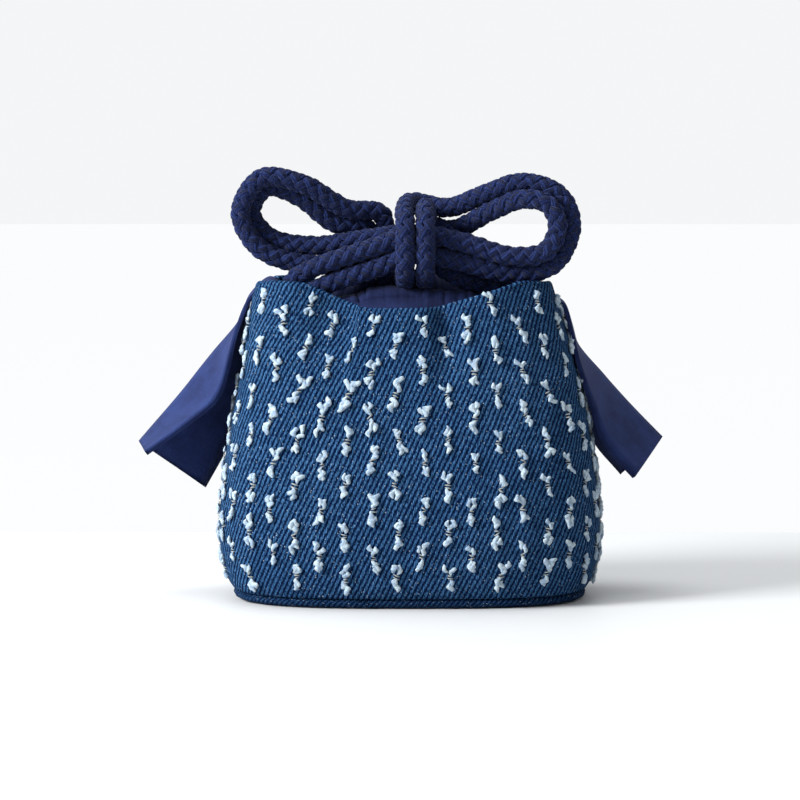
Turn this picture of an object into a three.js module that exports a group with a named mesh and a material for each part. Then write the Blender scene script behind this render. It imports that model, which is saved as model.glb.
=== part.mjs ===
// Kinchaku drawstring pouch, in millimetres, +Z up.
// The origin is the centre of the flat underside. The front faces -Y, and +X is the right-hand side.
// A denim bag stands open on a sewn-in base. Inside its mouth two cotton collars carry a drawstring each,
// and the two drawstrings are tied together in one bow. A folded cotton tab hangs over each side of the rim.

import * as THREE from 'three';

// Denim bag
const DENIM = 2.0;              // thickness of the tufted cloth with its backing
const SQUARENESS = 3.0;         // exponent of the superellipse that the plan follows
const BAG_PROFILE = [           // height, half width, half depth
  [0, 52, 32],
  [3, 55.4, 35],
  [8, 57.8, 36.5],
  [16, 59, 37.7],
  [26, 59.2, 38],
  [40, 57.8, 36.6],
  [55, 55.5, 33],
  [70, 52.4, 29.2],
  [85, 49.2, 25.7],
  [95, 46.8, 23.8],
  [102, 45.2, 22.6],
];
const LEAN = -1.7;              // the slack mouth leans to the left
const LEAN_FOOT = 65;
const LEAN_TOP = 95;
const WALL_BOTTOM = 2.9;
const RIM_FRONT = [             // x, height of the rim along the front and the back
  [-40, 99],
  [-34, 98.6],
  [-28, 96.2],
  [-22, 93.6],
  [-14, 91],
  [9, 91.2],
  [15, 93],
  [27, 96.2],
  [37, 99.2],
  [40, 98.8],
];
const SIDE_RIM = 88.5;          // the tabs press the rim down between its corners
const SIDE_RISE = 10;
const SIDE_START = 43;
const SIDE_END = 47;
const FRONT_DIP = [3, 9];       // the dip ends at these depths from the side seams
const BACK_DIP = [8, 20];
const WALL_COLUMNS = 72;
const WALL_ROWS = 15;

// Folds of the slack denim below the rim
const FOLD_FOOT = 60;
const FOLD_FULL = 90;
const DENT_DEPTH = 5.2;
const DENT_WIDTH = 22;
const VALLEY_DEPTH = 3;
const VALLEY_WIDTH = 3.6;
const BULGE_HEIGHT = 2;
const BULGE_WIDTH = 8;

// Base panel and lining
const BASE_TOP = 2.6;
const LINING = 1.0;
const LINING_GAP = 1.0;
const SEAM_GAP = 0.3;
const LINING_FLOOR = 3.0;
const LINING_TOP = 74;
const LINING_ROWS = 9;

// Collars, each with a casing along its top edge
const COLLAR = 1.0;
const COLLAR_HALF_LENGTH = 30;
const COLLAR_SECTIONS = 20;
const CASING_RADIUS = 4.4;      // to the middle of the cloth
const CASING_OFFSET = 8.5;      // from the middle of the mouth
const CASING_HEIGHT = 90.6;
const CASING_SAG = 5.4;
const CASING_ARC_STEPS = 12;
const CASING_START = 30;        // degrees, from level with the wall over the top and round
const CASING_END = 350;

// Tabs
const TAB = 1.4;                // two layers of cotton
const TAB_SECTIONS = 26;
const TAB_PAGE_STEPS = 3;

// Drawstrings: a braided cotton cord each
const CORD = 5.2;               // firm core of the 6 mm cord
const CORD_SIDES = 8;
const CORD_STEPS = 80;

function lookUp(table, key, column) {
  let row = 0;
  while (row < table.length - 2 && key > table[row + 1][0]) {
    row += 1;
  }
  const [low, high] = [table[row], table[row + 1]];
  const share = THREE.MathUtils.clamp((key - low[0]) / (high[0] - low[0]), 0, 1);
  return THREE.MathUtils.lerp(low[column], high[column], share);
}

function bump(x, centre, width) {
  return Math.exp(-(((x - centre) / width) ** 2));
}

// How far the front wall is pushed inwards at x and height z.
function frontFold(x, z) {
  const fade = THREE.MathUtils.smoothstep(z, FOLD_FOOT, FOLD_FULL);
  const ridge = -14 - (6 * (FOLD_FULL - z)) / (FOLD_FULL - FOLD_FOOT);
  const across = THREE.MathUtils.clamp((ridge - x) / DENT_WIDTH, 0, 1);
  const dent = DENT_DEPTH * Math.sin(Math.PI * Math.sqrt(across));
  const valley = VALLEY_DEPTH * bump(x, 12, VALLEY_WIDTH);
  const bulges = BULGE_HEIGHT * (bump(x, 0, BULGE_WIDTH) + 0.6 * bump(x, 25, BULGE_WIDTH));
  return fade * (dent + valley - bulges);
}

// The back wall's folds are softer.
function backFold(x, z) {
  const fade = THREE.MathUtils.smoothstep(z, FOLD_FOOT, FOLD_FULL);
  const valleys = VALLEY_DEPTH * (bump(x, -11, BULGE_WIDTH) + bump(x, 17, BULGE_WIDTH));
  return fade * (valleys - BULGE_HEIGHT * bump(x, 3, BULGE_WIDTH));
}

function fold(x, y, z) {
  return y < 0 ? frontFold(x, z) : backFold(x, z);
}

function lean(z) {
  return LEAN * THREE.MathUtils.smoothstep(z, LEAN_FOOT, LEAN_TOP);
}

// A point of the bag's plan at an angle and height, a given distance inside the outer face.
function wallPoint(angle, z, inset) {
  const halfWidth = lookUp(BAG_PROFILE, z, 1) - inset;
  const halfDepth = lookUp(BAG_PROFILE, z, 2) - inset;
  const along = Math.cos(angle);
  const across = Math.sin(angle);
  const x = halfWidth * Math.sign(along) * Math.abs(along) ** (2 / SQUARENESS);
  const y = halfDepth * Math.sign(across) * Math.abs(across) ** (2 / SQUARENESS);
  return new THREE.Vector3(x + lean(z), y - Math.sign(y) * Math.abs(across) * fold(x, y, z), z);
}

// Half the depth inside the bag at x and height z, on the front (side -1) or the back (side 1).
function insideDepth(x, z, side, inset) {
  const halfWidth = lookUp(BAG_PROFILE, z, 1) - inset;
  const halfDepth = lookUp(BAG_PROFILE, z, 2) - inset;
  const centred = x - lean(z);
  const share = 1 - Math.abs(centred / halfWidth) ** SQUARENESS;
  return halfDepth * share ** (1 / SQUARENESS) - fold(centred, side, z);
}

function rimHeight(angle) {
  const corner = wallPoint(angle, SIDE_RIM, 0);
  const side = THREE.MathUtils.smoothstep(Math.abs(corner.x - lean(SIDE_RIM)), SIDE_START, SIDE_END);
  const [dipStart, dipEnd] = corner.y < 0 ? FRONT_DIP : BACK_DIP;
  const dip = SIDE_RISE * THREE.MathUtils.smoothstep(Math.abs(corner.y), dipStart, dipEnd);
  return THREE.MathUtils.lerp(lookUp(RIM_FRONT, corner.x, 1), SIDE_RIM + dip, side);
}

function signedVolume(points, faces) {
  let total = 0;
  for (const [a, b, c] of faces) {
    total += points[a].dot(new THREE.Vector3().crossVectors(points[b], points[c]));
  }
  return total / 6;
}

// One closed body skinned over closed rings of equal length. Joined rings make a loop of rings; otherwise
// the first and last rings are closed by strips between their two halves.
function loft(rings, joined) {
  const count = rings[0].length;
  const points = rings.flat();
  const faces = [];
  const quad = (a, b, c, d) => faces.push([a, b, c], [a, c, d]);
  const spans = joined ? rings.length : rings.length - 1;
  for (let ring = 0; ring < spans; ring += 1) {
    const here = ring * count;
    const next = ((ring + 1) % rings.length) * count;
    for (let k = 0; k < count; k += 1) {
      const beside = (k + 1) % count;
      quad(here + k, here + beside, next + beside, next + k);
    }
  }
  if (!joined) {
    const last = (rings.length - 1) * count;
    for (let k = 0; k < count / 2 - 1; k += 1) {
      quad(k, count - 1 - k, count - 2 - k, k + 1);
      quad(last + k, last + k + 1, last + count - 2 - k, last + count - 1 - k);
    }
  }
  const outward = signedVolume(points, faces) > 0;
  const geometry = new THREE.BufferGeometry().setFromPoints(points);
  geometry.setIndex(faces.flatMap(([a, b, c]) => (outward ? [a, b, c] : [a, c, b])));
  geometry.computeVertexNormals();
  return geometry;
}

// Cloth of one thickness. The grid's points lie midway between its two faces.
function cloth(grid, thickness) {
  const rings = grid.map((row, i) => {
    const before = grid[Math.max(i - 1, 0)];
    const after = grid[Math.min(i + 1, grid.length - 1)];
    const lift = row.map((point, j) => {
      const along = new THREE.Vector3().subVectors(after[j], before[j]);
      const left = row[Math.max(j - 1, 0)];
      const right = row[Math.min(j + 1, row.length - 1)];
      const across = new THREE.Vector3().subVectors(right, left);
      return along.cross(across).setLength(thickness / 2);
    });
    const top = row.map((point, j) => point.clone().add(lift[j]));
    const underside = row.map((point, j) => point.clone().sub(lift[j]));
    return [...top, ...underside.reverse()];
  });
  return loft(rings, false);
}

function steps(count) {
  return Array.from({ length: count + 1 }, (_, k) => k / count);
}

function planRing(z, inset, columns) {
  return steps(columns).slice(0, columns).map((turn) => wallPoint(turn * 2 * Math.PI, z, inset));
}

// The wall goes once round the bag and is open at the top and at the base.
function denimBody() {
  const rings = steps(WALL_COLUMNS).slice(0, WALL_COLUMNS).map((turn) => {
    const angle = turn * 2 * Math.PI;
    const heights = steps(WALL_ROWS).map((up) => THREE.MathUtils.lerp(WALL_BOTTOM, rimHeight(angle), up));
    const outer = heights.map((z) => wallPoint(angle, z, 0));
    const inner = heights.map((z) => wallPoint(angle, z, DENIM));
    return [...outer, ...inner.reverse()];
  });
  return loft(rings, true);
}

// The base panel's edge is rolled under the wall.
function denimBase() {
  const edge = [
    [0, 2.4],
    [0.5, 1.0],
    [1.4, 0.3],
    [2.1, 0.6],
    [BASE_TOP, 1.4],
  ];
  const rings = edge.map(([z, inset]) => {
    const ring = planRing(WALL_BOTTOM, inset, WALL_COLUMNS);
    ring.forEach((point) => point.setZ(z));
    return ring;
  });
  return loft(rings, false);
}

// A cup of thin cotton, open at the top, that lies against the wall and the base.
function liningBag() {
  const outside = DENIM + LINING_GAP;
  const inside = outside + LINING;
  const heights = steps(LINING_ROWS).map((up) => THREE.MathUtils.lerp(LINING_FLOOR, LINING_TOP, up));
  const outer = heights.map((z) => planRing(z, outside, WALL_COLUMNS));
  const inner = heights.map((z) => planRing(Math.max(z, LINING_FLOOR + LINING), inside, WALL_COLUMNS));
  return loft([...outer, ...inner.reverse()], false);
}

function casingHeight(x) {
  return CASING_HEIGHT - CASING_SAG * (x / COLLAR_HALF_LENGTH) ** 2;
}

// A collar rises from its seam inside the wall, rolls over the drawstring and turns in under it.
function collar(side) {
  const grid = steps(COLLAR_SECTIONS).map((share) => {
    const x = THREE.MathUtils.lerp(-COLLAR_HALF_LENGTH, COLLAR_HALF_LENGTH, share);
    const height = casingHeight(x);
    const seam = (z) => insideDepth(x, z, side, DENIM + SEAM_GAP + COLLAR) - COLLAR / 2;
    const panel = [
      [seam(height - 9), height - 9],
      [seam(height - 5) - 0.2, height - 5],
      [seam(height - 1) - 0.4, height - 1],
    ];
    const roll = steps(CASING_ARC_STEPS).map((turn) => {
      const angle = THREE.MathUtils.degToRad(THREE.MathUtils.lerp(CASING_START, CASING_END, turn));
      return [CASING_OFFSET + CASING_RADIUS * Math.cos(angle), height + CASING_RADIUS * Math.sin(angle)];
    });
    return [...panel, ...roll].map(([depth, z]) => new THREE.Vector3(x, side * depth, z));
  });
  return cloth(grid, COLLAR);
}

function curveThrough(points) {
  return new THREE.CatmullRomCurve3(points.map(([x, y, z]) => new THREE.Vector3(x, y, z)));
}

// A tab is folded like a tent: a spine with a page hanging to the front and one to the back of it.
function tab(spine, frontEdge, backEdge) {
  const lines = [frontEdge, spine, backEdge].map(curveThrough);
  const grid = steps(TAB_SECTIONS).map((along) => {
    const [front, ridge, back] = lines.map((line) => line.getPoint(along));
    const frontPage = steps(TAB_PAGE_STEPS).map((share) => front.clone().lerp(ridge, share));
    const backPage = steps(TAB_PAGE_STEPS).map((share) => ridge.clone().lerp(back, share));
    return [...frontPage, ...backPage.slice(1)];
  });
  return cloth(grid, TAB);
}

const LEFT_SPINE = [
  [-42, 6, 80],
  [-41.8, 6, 91],
  [-41.4, 6, 97.2],
  [-43.6, 6, 98.6],
  [-49.4, 6, 93.4],
  [-52.9, 6, 85.6],
  [-60.4, 6.5, 76],
  [-68.5, 7, 66.2],
  [-77, 7.5, 56.5],
  [-85, 8, 47],
];
const LEFT_FRONT_EDGE = [
  [-42, -3, 80],
  [-41.8, -3, 90],
  [-41.8, -2, 94.6],
  [-44, -1.4, 96],
  [-49.6, -1.6, 92.6],
  [-53.4, -6, 83.6],
  [-56, -9, 72.5],
  [-59.6, -9.5, 62],
  [-69, -8, 53.4],
  [-81.6, -6, 44.4],
];
const LEFT_BACK_EDGE = [
  [-42, 10.5, 80],
  [-41.8, 10, 90],
  [-41.8, 9.5, 95],
  [-44, 9, 96.2],
  [-49.6, 9, 92.8],
  [-50.8, 13.5, 83.6],
  [-50.6, 18, 72],
  [-52.6, 20, 60],
  [-57, 20, 46.5],
  [-65, 17.5, 31.5],
];
const RIGHT_SPINE = [
  [41.8, 6, 80],
  [41.6, 6, 87],
  [41.8, 6, 91],
  [44, 6, 92.4],
  [47.4, 6, 91],
  [49.6, 6.4, 85.6],
  [51.8, 7, 78.4],
  [61, 8, 67.8],
  [70.4, 9, 57.6],
  [79.4, 10, 48],
];
const RIGHT_FRONT_EDGE = [
  [41.8, -3, 80],
  [41.6, -3, 87],
  [41.8, -2, 90.4],
  [44, -1.6, 91.6],
  [47.4, -1.8, 90.8],
  [50.2, -6, 83],
  [52.6, -9, 72],
  [56, -10, 59],
  [60.4, -9.5, 47.6],
  [69.7, -8, 37.5],
];
const RIGHT_BACK_EDGE = [
  [41.8, 10.5, 80],
  [41.6, 10, 87],
  [41.8, 9.5, 90.8],
  [44, 9, 92.2],
  [47.4, 9, 91.2],
  [50.2, 12, 83],
  [52.2, 16, 72],
  [54.4, 20, 59],
  [58.6, 22.5, 46],
  [67.5, 23, 35],
];

// The two drawstrings run side by side, except in the casings. Each row gives the point midway between
// them, then the way from that point to the back drawstring; the front drawstring is as far the other way.
const DRAWSTRING_ROUTE = [
  // tails tucked into the mouth, then once round the knot from below
  [1.7, 0, 82, 3.1, 0, 0],
  [1.7, -1.6, 96.6, 3.1, 0, 0],
  [1.7, -9.8, 98.9, 3.1, 0, 0],
  [1.7, -17.8, 104.2, 3.1, 0, 0],
  [1.7, -17.4, 116, 3.1, 0, 0],
  [1.7, -8.6, 120.9, 3.1, 0, 0],
  [4.2, 2.1, 118.9, 2.6, -0.1, -3.5],
  [13, 0.6, 117.4, 0.6, -0.3, -3.4],
  // right loop, out along the top and back along the bottom
  [24, -4, 122.4, 1.4, -1.2, -2.4],
  [35, -8, 126.2, 0, -1.8, -2.5],
  [44.4, -10, 123.4, -1.8, -2.1, -1.4],
  [47.6, -10.8, 115.2, -2.2, -2.1, 0.2],
  [42.8, -11.2, 105.6, -1.3, -1.8, 2.1],
  [31, -11.5, 103.6, 0.2, -1.4, 2.7],
  [15, -11.4, 107.8, 0.5, -0.5, 3],
  // through the front of the knot to the left end of the mouth
  [1.7, -11.3, 109.9, 0, 0, 3.1],
  [-10, -11.2, 106, -0.9, 0, 3],
  [-28, -10.8, 99.8, -0.8, 0, 3.05],
  [-34.9, -9.2, 96, -0.7, 1, 2.9],
  [-36.2, -4, 91.4, -0.2, 5.2, 1.8],
  [-33.8, -0.4, 86.4, -0.2, 8.2, 0.4],
  // through the casings
  [-27, 0, 86.2, 0, 8.5, 0],
  [0, 0, 90.6, 0, 8.5, 0],
  [27, 0, 86.2, 0, 8.5, 0],
  // back from the right end of the mouth through the back of the knot
  [33.8, -0.3, 86.4, 0.2, 8.2, 0.4],
  [36.3, -2, 91.4, 0.2, 5.6, 1.8],
  [35, -3.6, 96, 0.9, 1.5, 2.65],
  [18, -4.4, 101.4, 0.9, 0, 3.05],
  [3, -4.4, 109.4, 0.8, 0, 3.1],
  // left loop, out along the bottom and back along the top
  [-14, -4.4, 108, -0.4, 0.2, 3.1],
  [-30, -3.6, 106.2, 0.3, 0.9, 2.9],
  [-44.8, -4.5, 110, 1.3, 2, 1.8],
  [-50.6, -5.4, 119.6, 1.5, 2.6, 0],
  [-45, -5.2, 128.6, 0.7, 2.6, -1.4],
  [-33.5, -3.8, 126.2, -0.9, 2.2, -1.9],
  [-21.5, -0.6, 118.2, -1.6, 1.2, -2.4],
  // tails down behind the knot into the mouth
  [-11.2, 2.8, 116.4, -2.4, 0.3, -2.2],
  [-10.6, 3.2, 106.4, -3.1, 0, 0],
  [-10.6, 0.4, 95, -3.1, 0, 0],
  [-10.6, 0, 82, -3.1, 0, 0],
];

function drawstring(side) {
  const route = DRAWSTRING_ROUTE.map(([x, y, z, dx, dy, dz]) => {
    return [x + side * dx, y + side * dy, z + side * dz];
  });
  const outline = steps(CORD_SIDES).slice(0, CORD_SIDES).map((turn) => {
    const angle = turn * 2 * Math.PI;
    return new THREE.Vector2((CORD / 2) * Math.cos(angle), (CORD / 2) * Math.sin(angle));
  });
  const options = { steps: CORD_STEPS, bevelEnabled: false, extrudePath: curveThrough(route) };
  return new THREE.ExtrudeGeometry(new THREE.Shape(outline), options);
}

const DENIM_CLOTH = { color: 0x21395e, roughness: 0.95, metalness: 0 };
const NAVY_COTTON = { color: 0x141d3d, roughness: 0.9, metalness: 0 };
const NAVY_CORD = { color: 0x1c2a52, roughness: 0.95, metalness: 0 };

const pouch = new THREE.Group();

function add(name, geometry, finish) {
  const mesh = new THREE.Mesh(geometry, new THREE.MeshStandardMaterial(finish));
  mesh.name = name;
  pouch.add(mesh);
}

add('denim_body', denimBody(), DENIM_CLOTH);
add('denim_base', denimBase(), DENIM_CLOTH);
add('lining_bag', liningBag(), NAVY_COTTON);
add('front_collar', collar(-1), NAVY_COTTON);
add('back_collar', collar(1), NAVY_COTTON);
add('left_tab', tab(LEFT_SPINE, LEFT_FRONT_EDGE, LEFT_BACK_EDGE), NAVY_COTTON);
add('right_tab', tab(RIGHT_SPINE, RIGHT_FRONT_EDGE, RIGHT_BACK_EDGE), NAVY_COTTON);
add('front_drawstring', drawstring(-1), NAVY_CORD);
add('back_drawstring', drawstring(1), NAVY_CORD);

export default pouch;
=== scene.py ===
import math

import bpy
import numpy as np
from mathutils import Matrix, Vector


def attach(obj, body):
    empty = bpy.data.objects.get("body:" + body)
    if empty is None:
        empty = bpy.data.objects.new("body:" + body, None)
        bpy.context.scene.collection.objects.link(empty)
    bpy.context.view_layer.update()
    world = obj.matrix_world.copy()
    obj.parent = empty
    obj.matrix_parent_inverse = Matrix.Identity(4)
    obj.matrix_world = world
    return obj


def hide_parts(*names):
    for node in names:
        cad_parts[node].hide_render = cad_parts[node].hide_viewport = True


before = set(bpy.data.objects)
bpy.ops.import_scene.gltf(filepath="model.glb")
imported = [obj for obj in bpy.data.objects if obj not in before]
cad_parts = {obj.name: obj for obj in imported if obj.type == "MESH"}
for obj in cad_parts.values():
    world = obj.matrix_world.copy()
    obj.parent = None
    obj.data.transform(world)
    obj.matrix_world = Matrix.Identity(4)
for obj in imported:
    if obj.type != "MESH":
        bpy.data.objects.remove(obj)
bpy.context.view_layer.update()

# Everything below is worked out in millimetres, in the frame of the CAD model,
# and scaled when a mesh is made.
MM = 0.001
TURN = 2 * math.pi
SEED = 7


# ---------------------------------------------------------------- camera, light and floor

CAMERA_PLACE = (-3, -1036, 152)
CAMERA_AIM = (-3, -36, 64)
CAMERA_LENS = 150
SENSOR_WIDTH = 36
CLIP_NEAR = 10
CLIP_FAR = 20000

LIGHT_AIM = (0, 0, 50)
KEY_PLACE = (-820, -420, 560)
KEY_SIZE = 360
KEY_POWER = 19
TOP_PLACE = (-60, 40, 1000)
TOP_SIZE = 600
TOP_POWER = 4

SURROUND = (0.955, 0.965, 0.975)
SURROUND_FADES = [              # axis of the heading, its span, the strengths at the span's ends
    (1, (-0.5, 0.6), (0.5, 0.95)),
    (0, (0.15, 0.95), (1, 0.6)),
]

FLOOR_END = 150
FLOOR_SIZE = 3000
FLOOR_TONE = (0.62, 0.635, 0.645)
FAR_FLOOR_GLOW = 0.95


def make_camera():
    camera = bpy.data.objects.new("camera", bpy.data.cameras.new("camera"))
    bpy.context.collection.objects.link(camera)
    camera.data.sensor_width = SENSOR_WIDTH
    camera.data.lens = CAMERA_LENS
    camera.location = Vector(CAMERA_PLACE) * MM
    aim = Vector(CAMERA_AIM) - Vector(CAMERA_PLACE)
    camera.rotation_euler = aim.to_track_quat("-Z", "Y").to_euler()
    camera.data.clip_start = CLIP_NEAR * MM
    camera.data.clip_end = CLIP_FAR * MM
    bpy.context.scene.camera = camera


def area_light(name, place, size, power):
    light = bpy.data.objects.new(name, bpy.data.lights.new(name, "AREA"))
    bpy.context.collection.objects.link(light)
    light.data.shape = "RECTANGLE"
    light.data.size = light.data.size_y = size * MM
    light.data.energy = power
    light.location = Vector(place) * MM
    light.rotation_euler = (Vector(LIGHT_AIM) - Vector(place)).to_track_quat("-Z", "Y").to_euler()


def make_lights():
    area_light("key_light", KEY_PLACE, KEY_SIZE, KEY_POWER)
    area_light("top_light", TOP_PLACE, TOP_SIZE, TOP_POWER)


def make_surround():
    """A world light of one colour, weaker towards the front and to the right."""
    world = bpy.data.worlds.new("studio")
    bpy.context.scene.world = world
    world.use_nodes = True
    tree = world.node_tree
    background = tree.nodes["Background"]
    background.inputs["Color"].default_value = (*SURROUND, 1)
    heading = tree.nodes.new("ShaderNodeTexCoord").outputs["Generated"]
    split = tree.nodes.new("ShaderNodeSeparateXYZ")
    tree.links.new(heading, split.inputs[0])
    product = tree.nodes.new("ShaderNodeMath")
    product.operation = "MULTIPLY"
    for socket, (axis, reach, result) in zip(product.inputs, SURROUND_FADES):
        fade = tree.nodes.new("ShaderNodeMapRange")
        fade.interpolation_type = "SMOOTHSTEP"
        tree.links.new(split.outputs[axis], fade.inputs["Value"])
        fade.inputs["From Min"].default_value, fade.inputs["From Max"].default_value = reach
        fade.inputs["To Min"].default_value, fade.inputs["To Max"].default_value = result
        tree.links.new(fade.outputs["Result"], socket)
    tree.links.new(product.outputs[0], background.inputs["Strength"])
    bpy.context.scene.view_settings.view_transform = "Standard"


# ---------------------------------------------------------------- material building

MIX_A, MIX_B, MIX_RESULT = 6, 7, 2      # the sockets of a Mix node that carry colours


class Shader:
    """A Principled material whose inputs are fed by a few small node helpers."""

    def __init__(self, name, roughness, **constants):
        self.material = bpy.data.materials.new(name)
        self.material.use_nodes = True
        self.tree = self.material.node_tree
        self.surface = self.tree.nodes["Principled BSDF"]
        self.surface.inputs["Roughness"].default_value = roughness
        for key, value in constants.items():
            self.surface.inputs[key.replace("_", " ")].default_value = value

    def node(self, kind, **settings):
        made = self.tree.nodes.new(kind)
        for key, value in settings.items():
            setattr(made, key, value)
        return made

    def feed(self, socket, value):
        if isinstance(value, bpy.types.NodeSocket):
            self.tree.links.new(value, socket)
        elif value is not None:
            socket.default_value = value

    def math(self, operation, a, b=None, c=None, clamp=False):
        made = self.node("ShaderNodeMath", operation=operation, use_clamp=clamp)
        for socket, value in zip(made.inputs, (a, b, c)):
            self.feed(socket, value)
        return made.outputs[0]

    def ramp(self, value, low, high):
        """0 below low, 1 above high, smooth between."""
        made = self.node("ShaderNodeMapRange", interpolation_type="SMOOTHSTEP")
        self.feed(made.inputs["Value"], value)
        made.inputs["From Min"].default_value = low
        made.inputs["From Max"].default_value = high
        return made.outputs["Result"]

    def wave(self, phase):
        """0 to 1 and back once for each unit of phase, with its top at whole numbers."""
        swing = self.math("COSINE", self.math("MULTIPLY", phase, TURN))
        return self.math("MULTIPLY_ADD", swing, 0.5, 0.5)

    def attribute(self, name):
        made = self.node("ShaderNodeAttribute", attribute_name=name)
        split = self.node("ShaderNodeSeparateXYZ")
        self.feed(split.inputs[0], made.outputs["Vector"])
        return split.outputs[0], split.outputs[1], split.outputs[2], made.outputs["Vector"]

    def vector(self, x, y, z=0.0):
        made = self.node("ShaderNodeCombineXYZ")
        for socket, value in zip(made.inputs, (x, y, z)):
            self.feed(socket, value)
        return made.outputs[0]

    def scaled(self, vector, x, y, z):
        made = self.node("ShaderNodeVectorMath", operation="MULTIPLY")
        self.feed(made.inputs[0], vector)
        made.inputs[1].default_value = (x, y, z)
        return made.outputs[0]

    def noise(self, vector, scale, detail=2.0, roughness=0.5):
        made = self.node("ShaderNodeTexNoise")
        self.feed(made.inputs["Vector"], vector)
        made.inputs["Scale"].default_value = scale
        made.inputs["Detail"].default_value = detail
        made.inputs["Roughness"].default_value = roughness
        return made.outputs["Fac"]

    def cells(self, vector, scale):
        """Distance to the nearest scattered point, and that point's random colour."""
        made = self.node("ShaderNodeTexVoronoi")
        self.feed(made.inputs["Vector"], vector)
        made.inputs["Scale"].default_value = scale
        return made.outputs["Distance"], made.outputs["Color"]

    def blend(self, share, a, b):
        made = self.node("ShaderNodeMix", data_type="RGBA", clamp_factor=True)
        self.feed(made.inputs["Factor"], share)
        self.feed(made.inputs[MIX_A], a if isinstance(a, bpy.types.NodeSocket) else (*a, 1))
        self.feed(made.inputs[MIX_B], b if isinstance(b, bpy.types.NodeSocket) else (*b, 1))
        return made.outputs[MIX_RESULT]

    def object_place(self):
        return self.node("ShaderNodeTexCoord").outputs["Object"]

    def colour(self, value):
        self.feed(self.surface.inputs["Base Color"], value)

    def bump(self, height, distance_mm, strength=1.0):
        made = self.node("ShaderNodeBump")
        made.inputs["Strength"].default_value = strength
        made.inputs["Distance"].default_value = distance_mm * MM
        self.feed(made.inputs["Height"], height)
        self.feed(self.surface.inputs["Normal"], made.outputs[0])


def floor_material(name, tone):
    shader = Shader(name, 0.55)
    grain = shader.noise(shader.object_place(), 3, 3)
    lighter = tuple(min(channel * 1.02, 1) for channel in tone)
    shader.colour(shader.blend(grain, tone, lighter))
    return shader.material


WARP_PITCH = 0.4                # across the cloth, from one warp yarn to the next
WARPS_PER_RIB = 4
RIB_RISE = 3.3                  # up the cloth, from one rib to the next
DENIM_DEEP = ((0.0008, 0.0058, 0.03), (0.0018, 0.0125, 0.058))      # unwashed, washed
DENIM_PALE = ((0.05, 0.18, 0.44), (0.125, 0.325, 0.62))
WEFT_PIN = (0.42, 0.52, 0.62)


def denim_material(name, contrast=1.0, tone=1.0):
    """Right-hand twill: pale warp floats step up to the right over a dark ground, with pins of weft."""
    shader = Shader(name, 0.9, Specular_IOR_Level=0.03)
    across, up, _, place = shader.attribute("cloth")
    wander = shader.noise(shader.scaled(place, 0.22, 0.12, 1), 1.0, 2)
    warp = shader.math("MULTIPLY_ADD", wander, 1.6, shader.math("DIVIDE", across, WARP_PITCH))
    yarn = shader.math("FLOOR", warp)
    yarn_round_and_edge_shade = shader.math("SINE", shader.math("MULTIPLY", shader.math("FRACT", warp), math.pi))
    own_noise = shader.math("MULTIPLY", yarn, 7.31)
    jitter = shader.noise(shader.vector(own_noise, shader.math("MULTIPLY", up, 0.3)), 1.0, 2)
    step = shader.math("MULTIPLY_ADD", yarn, -1 / WARPS_PER_RIB, shader.math("DIVIDE", up, RIB_RISE))
    phase = shader.math("FRACT", shader.math("MULTIPLY_ADD", jitter, 0.5, step))
    rib = shader.math("SINE", shader.math("MULTIPLY", phase, math.pi))
    fibre = shader.noise(shader.scaled(place, 4.5, 1.1, 1), 1.0, 3, 0.65)
    worn = shader.math("MULTIPLY", shader.ramp(rib, 0.42, 0.96), shader.ramp(fibre, 0.36, 0.6))
    # Each pale float fades to a fifth towards the edges of its warp yarn: painted shade of the round yarn.
    pale = shader.math("MULTIPLY", worn, shader.math("MULTIPLY_ADD", yarn_round_and_edge_shade, 0.8, 0.2))
    wash = shader.noise(shader.scaled(place, 0.05, 0.035, 1), 1.0, 2)
    dark, bright = (
        shader.blend(wash, *(tuple(tone * channel for channel in shade) for shade in shades))
        for shades in (DENIM_DEEP, DENIM_PALE)
    )
    cloth = shader.blend(shader.math("MULTIPLY", pale, contrast), dark, bright)
    distance, random = shader.cells(shader.scaled(place, 1.0, 0.8, 1), 1.1)
    chosen = shader.node("ShaderNodeSeparateColor")
    shader.feed(chosen.inputs[0], random)
    pin = shader.math("MULTIPLY", shader.ramp(distance, 0.2, 0.12), shader.ramp(chosen.outputs[0], 0.5, 0.6))
    shader.colour(shader.blend(shader.math("MULTIPLY", pin, 0.75), cloth, WEFT_PIN))
    yarn_height = shader.math("MULTIPLY_ADD", yarn_round_and_edge_shade, 0.35, shader.math("MULTIPLY", rib, 0.8))
    shader.bump(shader.math("MULTIPLY_ADD", fibre, 0.4, yarn_height), 0.75 * contrast)
    return shader.material


def tuft_material():
    """Clipped soft yarn: pale blue with near-white flecks, which stand partly for the yarn's pale tips and
    partly for painted highlights, and cream pinch thread.
    """
    shader = Shader("tuft_yarn", 0.95, Sheen_Weight=0.1, Specular_IOR_Level=0.05)
    _, _, kind, _ = shader.attribute("yarn")
    place = shader.object_place()
    patches = shader.noise(place, 650, 3, 0.6)
    fine = shader.noise(place, 3200, 3, 0.6)
    pale = shader.blend(shader.ramp(patches, 0.36, 0.62), (0.07, 0.19, 0.37), (0.42, 0.55, 0.64))
    # Near-white flecks over the pale blue: partly the yarn's own pale tips, partly painted highlights.
    pale_tips_and_highlights = shader.blend(shader.math("MULTIPLY", fine, 0.7), pale, (0.66, 0.74, 0.79))
    threads = shader.blend(fine, (0.1, 0.15, 0.2), (0.6, 0.6, 0.54))
    shader.colour(shader.blend(shader.ramp(kind, 0.4, 0.6), pale_tips_and_highlights, threads))
    shader.bump(shader.math("ADD", shader.math("MULTIPLY", fine, 1.2), patches), 0.35)
    return shader.material


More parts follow.
